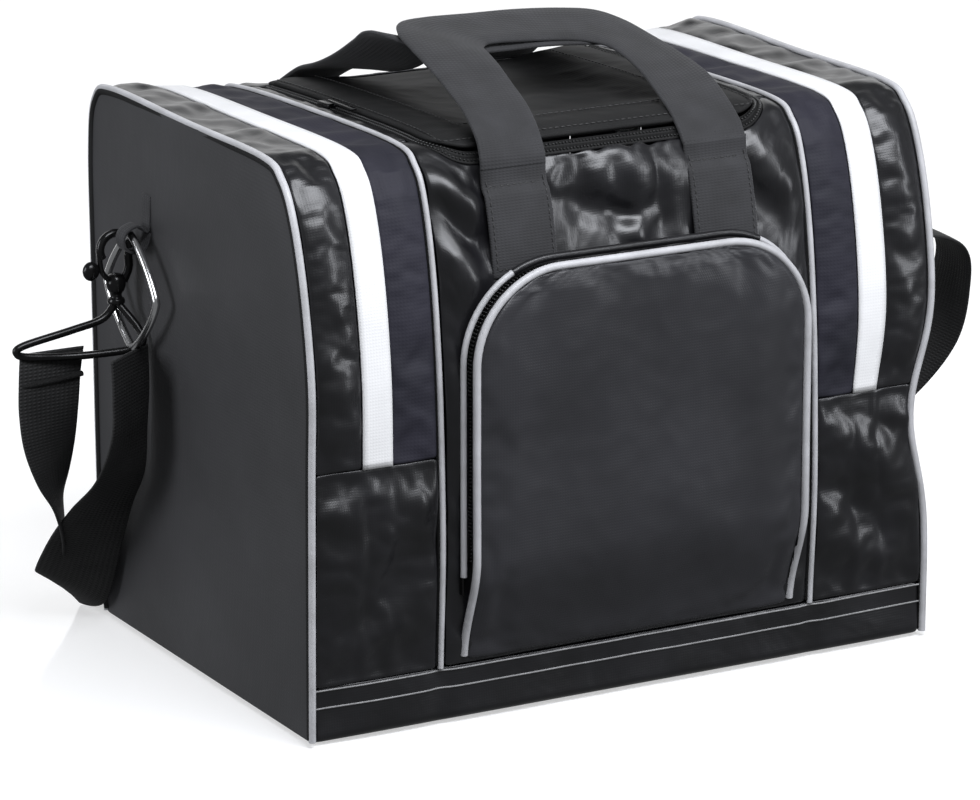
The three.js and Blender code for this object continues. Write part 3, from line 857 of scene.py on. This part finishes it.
def moved_in(line, distance):
    """A line of the wall moved towards the inside of the bag, where its seam is bound."""
    points = np.array(line, float)
    inward = np.array([0, 0, 150.0]) - points
    inward[:, 0] = 0
    return points + inward / np.linalg.norm(inward, axis=1, keepdims=True) * distance


def build_end(side):
    """One end panel with the piping round it."""
    word = "left" if side < 0 else "right"
    crown = 8.6
    inset = 1.2
    grid = []
    for s in np.linspace(0, 1, 64):
        front = np.array(wrap_point(side * END_X, s * crown))
        back = np.array(wrap_point(side * END_X, LINE_END - s * (LINE_END - crown)))
        row = []
        for f in np.linspace(0, 1, 44):
            p = front + (back - front) * f
            bulge = 3.2 * math.sin(math.pi * f) ** 0.8 * math.sin(math.pi * min(s * 1.05, 1)) ** 0.6
            p[0] += side * (bulge + inset * 0.4)
            row.append(p)
        grid.append(row)
    grid = np.array(grid)
    grid = settle(grid, pinned_edges(grid), 0.012, 0.6, 3)
    cloth_piece(f"end_panel_{word}", grid, CHARCOAL, "shell", [f"end_panel_{word}"])
    line = [wrap_point(side * (END_X - 0.2), t) for t in np.linspace(0.05, LINE_END - 0.05, 220)]
    tube(f"end_piping_{word}", line, 1.9, VINYL, "shell", [f"end_piping_{word}"])
    tube(f"end_seam_{word}", moved_in(line, 2), 2.3, BLACK, "shell")
    line = [wrap_point(side * CENTRE_X, t) for t in np.linspace(BAND_TOP, BACK_BAND_TOP, 220)]
    tube(f"centre_piping_{word}", line, 1.6, VINYL, "shell", [f"centre_piping_{word}"])
    tube(f"centre_seam_{word}", moved_in(line, 2), 2.5, BLACK, "shell")


# ---- lid ----

def lid_outline(margin, count=120):
    """The lid's free edges from the back left round the front to the back right, as (x, y)."""
    half = LID_HIGH[0] + margin
    radius = LID_CORNER + margin
    front = LID_LOW[1] - margin
    back = LID_HIGH[1] - HINGE_GAP
    left = [(-half, back + (front + radius - back) * i / 40) for i in range(40)]
    turn = [(-half + radius - radius * math.cos(a), front + radius - radius * math.sin(a))
            for a in np.linspace(0, math.pi / 2, 14)]
    across = [(x, front) for x in np.linspace(-half + radius, 0, 24)[1:]]
    whole = left + turn + across
    return whole + [(-x, y) for x, y in reversed(whole[:-1])]


def on_top(outline, rise):
    return np.array([(x, y, top_height(x, y) + rise) for x, y in outline])


def build_lid():
    grid = []
    rows = np.concatenate([np.linspace(0, 0.12, 12), np.linspace(0.14, 1, 50)])
    for s in rows:
        y = LID_LOW[1] + s * (LID_HIGH[1] - LID_LOW[1])
        half = max(lid_half_width(y, 0), LID_HIGH[0] - LID_CORNER)
        row = []
        for f in np.linspace(-1, 1, 61):
            x = f * half
            edge = min(LID_HIGH[0] - abs(x), y - LID_LOW[1], 200)
            inside = min(max((edge - 26) / 30, 0), 1)
            dip = 3.4 * inside * inside * (3 - 2 * inside)
            crown = 1.2 * math.exp(-((edge - 13) / 9) ** 2)
            row.append((x, y, top_height(x, y) + 2.2 + crown - dip))
        grid.append(row)
    grid = crumple(np.array(grid), 0.9, 30, 61)
    panel = cloth_piece("lid_panel", grid, BLACK, None, ["lid_panel"], 2.4)
    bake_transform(panel)
    binding = on_top(lid_outline(-1.2), 2.0)
    tube("lid_edge_binding", binding, 1.3, BLACK, "lid")
    for name, inset in (("lid_stitch_inner", 27), ("lid_stitch_outer", 4.5)):
        path = on_top(inner_border(inset), 3.2)
        stitches(name, path, [(0, 0, 1)] * len(path), DARK_THREAD, "lid")
    build_zip("lid_zip_half", "lid", SEAM + ZIP_WIDTH / 2, 0.4)
    build_zip("bag_zip_half", "shell", 2 * SEAM + 1.5 * ZIP_WIDTH, 0.2)


def inner_border(inset):
    """The lid's outline moved in, with tighter corners."""
    half = LID_HIGH[0] - inset
    front = LID_LOW[1] + inset
    left = [(-half, y) for y in np.linspace(LID_HIGH[1] - 4, front + 4, 30)]
    turn = [(-half + 4 - 4 * math.cos(a), front + 4 - 4 * math.sin(a)) for a in np.linspace(0.2, 1.5, 5)]
    across = [(x, front) for x in np.linspace(-half + 4, 0, 20)]
    whole = left + turn + across
    return whole + [(-x, y) for x, y in reversed(whole[:-1])]


def build_zip(name, body, margin, rise):
    """Half of the lid's zip: a tape and a row of coil."""
    half = ZIP_WIDTH / 2 + 0.15
    inner = on_top(lid_outline(margin - half), rise)
    outer = on_top(lid_outline(margin + half), rise)
    middle = (inner + outer) / 2
    tape = np.stack([inner, middle, outer], axis=1)
    cloth_piece(name, tape, BLACK, body, [name], 1.0, 0)
    path = on_top(lid_outline(margin), rise)
    teeth(name + "_coil", path, [(0, 0, 1)] * len(path), COIL, body)


# ---- front pocket ----

def pocket_half_width(z, margin=0.0):
    half = POCKET_HIGH[0] + margin
    radius = POCKET_CORNER + margin
    above = z - (POCKET_TOP + margin - radius)
    if above <= 0:
        return half
    return half - radius + math.sqrt(max(radius ** 2 - above ** 2, 0))


def face_depth(x, z):
    """The y of the pocket's face: thin at the foot, full above, with a soft wave."""
    lift = min(max((z - POCKET_LOW[2]) / 58, 0), 1)
    lift = lift * lift * (3 - 2 * lift)
    depth = -128.5 - 13.5 * lift
    wave = 1.3 * noise.noise(Vector((x / 60, 0, z / 75)))
    round_off = max(0, (abs(x) - 84) / 13) ** 2 + max(0, (z - 230) / 12) ** 2
    return depth - (1.0 + wave) * lift + 1.5 * min(round_off, 1)


# Soft upright waves of the pocket's face, in the same form as the folds of the middle.
POCKET_FOLDS = [((72, 225), (66, 120), 2.2, 12), ((86, 200), (84, 100), -1.6, 7),
                ((-78, 200), (-82, 90), 1.5, 10), ((20, 110), (60, 70), 1.4, 14)]


def build_pocket():
    grid = []
    heights = np.concatenate([np.linspace(POCKET_LOW[2], POCKET_TOP - 12, 52),
                              np.linspace(POCKET_TOP - 10.5, POCKET_TOP, 9)])
    for z in heights:
        half = pocket_half_width(z)
        grid.append([(f * half, face_depth(f * half, z), z) for f in np.linspace(-1, 1, 57)])
    grid = np.array(grid)
    grid = crumple(settle(grid, pinned_edges(grid), 0.012, 0.8, 2), 0.7, 34, 77)
    grid = folded(grid, POCKET_FOLDS)
    cloth_piece("pocket_face", grid, POCKET, "pocket_flap", ["pocket_face"])
    wall = -124.6
    face = POCKET_LOW[1] + 1.5
    strips = (("pocket_front_gusset", "pocket_flap", GLOSS, face, wall - 10.2, 0.9),
              ("pocket_zip_front", "pocket_flap", BLACK, wall - 9.9, wall - 7.3, 0.1),
              ("pocket_zip_back", "shell", BLACK, wall - 6.9, wall - 4.6, 0.1),
              ("pocket_back_gusset", "shell", GLOSS, wall - 4.4, wall, 0.8))
    for name, body, material, front, rear, depth in strips:
        strip = crumple(arch_grid(0, front, rear), depth, 9, 83, edge=1)
        cloth_piece(name, strip, material, body, [name], 1.4, 1)
    for name, body, depth in (("pocket_zip_front_coil", "pocket_flap", wall - 8.2),
                              ("pocket_zip_back_coil", "shell", wall - 6.0)):
        path = pocket_path(0.3, 88, lambda z, d=depth: d)
        teeth(name, path, path_normals(path), COIL, body)
    face_line = pocket_path(1.6, 36, lambda z: face_depth(0, z) + 1.6)
    tube("pocket_face_piping", face_line, 2.1, VINYL, "pocket_flap", ["pocket_face_piping"])
    base_line = pocket_path(4.5, 80, lambda z: -132.5)
    corner = next(i for i, p in enumerate(base_line) if p[0] > -76)
    tube("pocket_base_piping", base_line[:corner + 1], 1.7, VINYL, "shell", ["pocket_base_piping"])
    tube("pocket_base_piping_right", base_line[-corner - 1:], 1.7, VINYL, "shell")
    tube("pocket_base_piping_top", base_line[corner:-corner], 2.0, GLOSS, "shell")


def pocket_path(margin, foot, depth_at):
    """The pocket's outline from its left foot over the top to its right foot."""
    half = POCKET_HIGH[0] + margin
    radius = POCKET_CORNER + margin
    top = POCKET_TOP + margin
    left = [(-half, z) for z in np.linspace(foot, top - radius, 40)]
    turn = [(-half + radius - radius * math.cos(a), top - radius + radius * math.sin(a))
            for a in np.linspace(0, math.pi / 2, 18)[1:]]
    across = [(x, top) for x in np.linspace(-half + radius, 0, 12)[1:]]
    whole = left + turn + across
    whole = whole + [(-x, z) for x, z in reversed(whole[:-1])]
    return np.array([(x, depth_at(z), z) for x, z in whole])


def path_normals(path):
    """Directions straight away from the pocket's middle, square to its outline."""
    along = np.gradient(path, axis=0)
    normals = np.stack([-along[:, 2], np.zeros(len(path)), along[:, 0]], axis=1)
    return normals / np.linalg.norm(normals, axis=1, keepdims=True)


def arch_grid(margin, front, rear):
    """A strip of the pocket's gusset between two depths, closing in at the tapered foot."""
    columns = []
    for f in np.linspace(0, 1, 7):
        depth = front + (rear - front) * f
        columns.append(pocket_path(margin, 40, lambda z, d=depth: max(d, face_depth(0, z) + 1.2)))
    return np.stack(columns, axis=1)


# ---- handles ----

def build_feet():
    """The sewn-down webbing of both handles."""
    for side, line_side in (("front", -1), ("rear", 1)):
        for hand, word in ((-1, "left"), (1, "right")):
            x = 60 * hand
            if line_side < 0:
                flat = [wrap_point(x, t) for t in np.linspace(4.9, 6.0, 12)]
                flat += [(x, y, z) for y, z in ((-108.8, 276), (-107.6, 282), (-107.4, 287.5))]
            else:
                flat = [wrap_point(x, t) for t in np.linspace(12.3, 10.95, 12)]
            tangents = np.gradient(np.array(flat), axis=0)
            out = np.stack([np.zeros(len(flat)), tangents[:, 2], -tangents[:, 1]], axis=1)
            out /= np.linalg.norm(out, axis=1, keepdims=True)
            if out[0][1] * line_side < 0:
                out = -out
            path = np.array(flat) + out * 2.0
            halves = [(19, 0, 0)] * len(path)
            name = f"{side}_leg_{word}"
            ribbon(name, path, halves, HANDLE_THICKNESS, WEBBING, "shell", [name], count=30)
            seam = path + out * 1.3
            for offset in (-16.5, 16.5):
                row = seam[1:-1] + np.array([offset, 0, 0])
                stitches(f"{name}_stitch_{'a' if offset < 0 else 'b'}", row, out[1:-1], DARK_THREAD, "shell")
            for k, place in enumerate((1, len(seam) - 3)):
                row = [seam[place] + np.array([dx, 0, 0]) for dx in np.linspace(-16, 16, 9)]
                stitches(f"{name}_bar_{k}", row, [out[place]] * 9, DARK_THREAD, "shell")


def handle_piece(name, outer, inner, body):
    """One handle of flat webbing between its two edges, from the left foot over the grip to the right."""
    outer, inner = np.array(outer, float), np.array(inner, float)
    middle, half = (outer + inner) / 2, (inner - outer) / 2
    handle = ribbon(name, middle, half, HANDLE_THICKNESS, WEBBING, body, [name], count=170)
    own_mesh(handle)
    return handle


def build_handles():
    outer = [(-79, -109.6, 286), (-79, -108.4, 293), (-78.5, -103, 302), (-78, -90, 312),
             (-77.5, -72, 320), (-77, -50, 328), (-77, -32, 334), (-75, -14, 338.5), (-66, 2, 340.5),
             (-48, 8, 340.5), (-22, 8, 340), (6, 8, 339.5), (34, 8, 337.5), (55, 7, 334.5), (69, 0, 329),
             (77, -14, 323), (80, -38, 318), (81, -66, 312), (80, -86, 304), (79, -103, 294),
             (79, -108.8, 286)]
    inner = [(-41, -109.6, 286), (-41, -108.4, 292), (-41, -101, 303), (-40, -88, 312),
             (-39.5, -72, 319.5), (-39, -58, 326), (-38, -46, 329.5), (-36, -36, 331), (-30, -29, 331.5),
             (-22, -28, 331.5), (-12, -28, 331), (4, -28, 330), (20, -28, 328.5), (32, -30, 326.5),
             (40, -36, 324), (44, -48, 319), (45, -62, 313), (44, -78, 306), (42, -92, 301),
             (41, -103, 293), (41, -108.8, 286)]
    handle_piece("handle_front", outer, inner, "handle_front")
    start = wrap_point(60, 10.95)
    outer = [(-79, start[1] - 1, start[2] + 3), (-79, 96, 300), (-79, 77, 306), (-80, 58, 313),
             (-81, 42, 320), (-82, 24, 329), (-84, 8, 336.5), (-82, -6, 338), (-66, -24, 332),
             (-48, -29, 328), (-22, -29, 327), (6, -29, 327), (34, -29, 325), (56, -28, 323),
             (72, -16, 322), (79, 2, 322), (79, 20, 321), (79, 38, 318), (79, 58, 311), (79, 96, 301),
             (79, start[1] - 1, start[2] + 3)]
    inner = [(-41, start[1] - 1, start[2] + 3), (-41, 96, 298), (-40, 77, 300), (-39, 60, 302),
             (-38, 46, 305), (-37, 34, 309), (-36, 23, 315), (-35, 13, 323), (-31, 6, 331), (-23, 5, 335),
             (-14, 5, 335.5), (4, 7, 336.5), (22, 7, 335), (32, 8, 332), (38, 12, 329), (41, 20, 326),
             (41, 32, 323), (41, 46, 318), (41, 64, 310), (41, 96, 301), (41, start[1] - 1, start[2] + 3)]
    handle_piece("handle_rear", outer, inner, "handle_rear")


# ---- sliders and pulls ----

def build_sliders():
    """The zips' sliders and pulls, as plain rounded metal blocks of their solids' sizes."""
    for piece, bevel in (("slider", 0.9), ("pull", 0.55)):
        for zip_name in ("top", "pocket"):
            name = f"{zip_name}_{piece}"
            low, high = node_box(name)
            rounded_block(name, low, high, bevel, METAL, name, [name])


# ---- strap hardware ----

def mirror(points, side):
    """Points given for the left side, or their mirror image for the right one."""
    return [(p[0] * -side, *p[1:]) for p in points]


def build_hardware(side):
    word = "left" if side < 0 else "right"
    ring_low, ring_high = node_box("ring_left")
    x = (ring_low[0] + ring_high[0]) / 2
    centre_y, centre_z = (ring_low[1] + ring_high[1]) / 2, (ring_low[2] + ring_high[2]) / 2
    reach = (ring_high[1] - ring_low[1]) / 2 - 2.2
    ring = []
    for k in range(96):
        angle = 2 * math.pi * k / 96
        square = (abs(math.cos(angle)) ** 1.25 + abs(math.sin(angle)) ** 1.25) ** (-1 / 1.25)
        out = reach * square
        ring.append((x, centre_y + out * math.cos(angle), centre_z + out * math.sin(angle)))
    name = f"ring_{word}"
    tube(name, mirror(ring, side), 2.1, NICKEL, name, [name], cyclic=True)
    tab = [(-188.6, 54, 252), (-189.2, 54, 240), (-190.6, 54, 233), (-196, 54, 236.4), (-202.4, 54, 234),
           (-204.4, 54, 229), (-202.4, 54, 224.2), (-197, 54, 222.2), (-191.4, 54, 225),
           (-189.2, 54, 232)]
    ribbon(f"ring_tab_{word}", mirror(tab, side), [(0, 5, 0)] * len(tab), 1.2, WEBBING, "shell",
           [f"ring_tab_{word}"], count=60)
    hook_x, hook_y, hook_z = -201.1, 68, 221
    bow = []
    for k in range(30):
        angle = math.radians(-30 + 240 * k / 29)
        bow.append((hook_x + 8.6 * math.cos(angle), hook_y, hook_z + 8.6 * math.sin(angle)))
    spine = [(hook_x + 4.4, hook_y, 203), (hook_x + 7.6, hook_y, 210)] + bow
    tube(f"hook_{word}_bow", mirror(smooth(spine, 80), side), 2.3, METAL, f"hook_{word}",
         [f"hook_{word}"])
    profile = [(0.1, 208), (3.6, 207), (5.4, 203), (4.6, 199), (3.2, 197), (3.2, 195), (4.4, 194),
               (4.4, 191.5), (0.1, 191)]
    revolve(f"hook_{word}_body", (hook_x, hook_y), side, METAL, f"hook_{word}", profile)
    gate = [(hook_x - 4.6, hook_y, 205), (hook_x - 8.2, hook_y, 210), (hook_x - 9.3, hook_y, 219)]
    tube(f"hook_gate_{word}_bar", mirror(smooth(gate, 16), side), 1.5, METAL, f"hook_gate_{word}",
         [f"hook_gate_{word}"])
    knob = (hook_x - 14.2, hook_y, 210.5)
    ball(f"hook_gate_{word}_knob", knob, 5.2, side, METAL, f"hook_gate_{word}")
    eye = [(hook_x, hook_y, 192.5), (hook_x - 8, hook_y, 184), (hook_x - 26, hook_y, 180),
           (hook_x - 54, hook_y, 175), (hook_x - 57.5, hook_y + 0.5, 171), (hook_x - 50, hook_y, 168.4),
           (hook_x - 24, hook_y - 3, 166.4), (hook_x + 2, hook_y - 12, 168.6),
           (hook_x + 8, hook_y - 15, 173), (hook_x + 7, hook_y - 11, 180)]
    closed = smooth([*eye, eye[0]], 120)[:-1]
    tube(f"strap_eye_{word}", mirror(closed, side), 2.1, METAL, f"strap_eye_{word}", [f"strap_eye_{word}"],
         cyclic=True)


def revolve(name, axis, side, material, body, profile):
    """A turned piece standing on a vertical axis; profile is (radius, z)."""
    sections = []
    for radius, z in smooth(profile, 30):
        ring = [(axis[0] + radius * math.cos(a), axis[1] + radius * math.sin(a), z)
                for a in np.linspace(0, 2 * math.pi, 21)[:-1]]
        sections.append(mirror(ring, side))
    return loft(name, sections, material, body)


def ball(name, centre, radius, side, material, body):
    """A flattened round knob."""
    sections = []
    for turn in np.linspace(0.06, math.pi - 0.06, 16):
        r = radius * math.sin(turn)
        z = centre[2] - radius * math.cos(turn)
        ring = [(centre[0] + 0.9 * r * math.cos(a), centre[1] + 0.7 * r * math.sin(a), z)
                for a in np.linspace(0, 2 * math.pi, 21)[:-1]]
        sections.append(mirror(ring, side))
    return loft(name, sections, material, body)


# ---- shoulder strap ----

def build_strap():
    """The strap's two layers at the left end, its run behind the bag and its climb to the right ring.

    Only the small fold at the left end goes with its ring; the ends themselves are built free of the rings,
    and the middle stays with the bag.
    """
    inner = [(-206, 42, 171), (-206, 41, 150), (-207, 42, 128), (-209, 50, 102), (-211, 70, 80),
             (-211, 92, 54), (-211, 113, 24), (-204, 140, 16), (-180, 148, 20), (-120, 149, 24)]
    halves = [(16, 12, 0), (16, 12, 0), (16, 12, 0), (18, 8, -1), (20, 4, -2), (20, -2, -5),
              (20, -2, -12), (12, 2, -14), (0, 0, -20), (0, 0, -20)]
    left = ribbon("strap_left", inner, halves, STRAP_THICKNESS, STRAP, None, ["strap_left"],
                  90, 0.4)
    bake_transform(left)
    tail = [(-238, 70, 170), (-240, 69, 156), (-241, 69, 138), (-240, 71, 118), (-236, 76, 98),
            (-229, 86, 80), (-218, 106, 56), (-208, 134, 30)]
    turns = [0, 4, 8, 20, 40, 60, 66, 70]
    widths = [(18.5 * math.cos(math.radians(a)), 18.5 * math.sin(math.radians(a)), 0) for a in turns]
    loose = ribbon("strap_left_tail", tail, widths, STRAP_THICKNESS, STRAP, None, (),
                   80, 0.3)
    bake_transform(loose)
    fold = [(-256.5, 68, 153), (-250, 67.4, 153.4), (-240, 67.2, 154.2), (-230, 67.4, 155),
            (-221.5, 68.4, 155.6)]
    tube("strap_left_fold", smooth(fold, 20), 1.5, STRAP, "ring_left")
    back = [(x, 149, 24 - 1.5 * math.sin((x + 120) / 60)) for x in np.linspace(-120, 250, 12)]
    ribbon("strap_back", back, [(0, 0, 20)] * len(back), STRAP_THICKNESS, STRAP, "shell", ["strap_back"],
           60)
    climb = [(240, 148.6, 24), (262, 147.6, 26), (282, 144, 33), (318, 128, 58), (343, 108, 94),
             (347, 92, 132), (336, 80, 158), (302, 72, 170), (268, 69, 166), (246, 68, 160)]
    lean = [(0, 0, 20), (-1, 2, 20), (-6, 6, 18), (-10, 14, 10), (-6, 19, 4), (0, 20, 0), (2, 20, 0),
            (0, 20, 0), (0, 20, 0), (0, 20, 0)]
    right = ribbon("strap_right", climb, lean, STRAP_THICKNESS, STRAP, None, ["strap_right"],
                   90, 0.4)
    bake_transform(right)


make_camera()
make_studio()
make_floor()
for hand in (-1, 1):
    build_side(hand)
    build_end(hand)
    build_hardware(hand)
build_centre()
build_base()
build_lid()
build_pocket()
build_feet()
build_handles()
build_sliders()
build_strap()
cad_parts["base_board"].data.materials.clear()
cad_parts["base_board"].data.materials.append(BLACK)
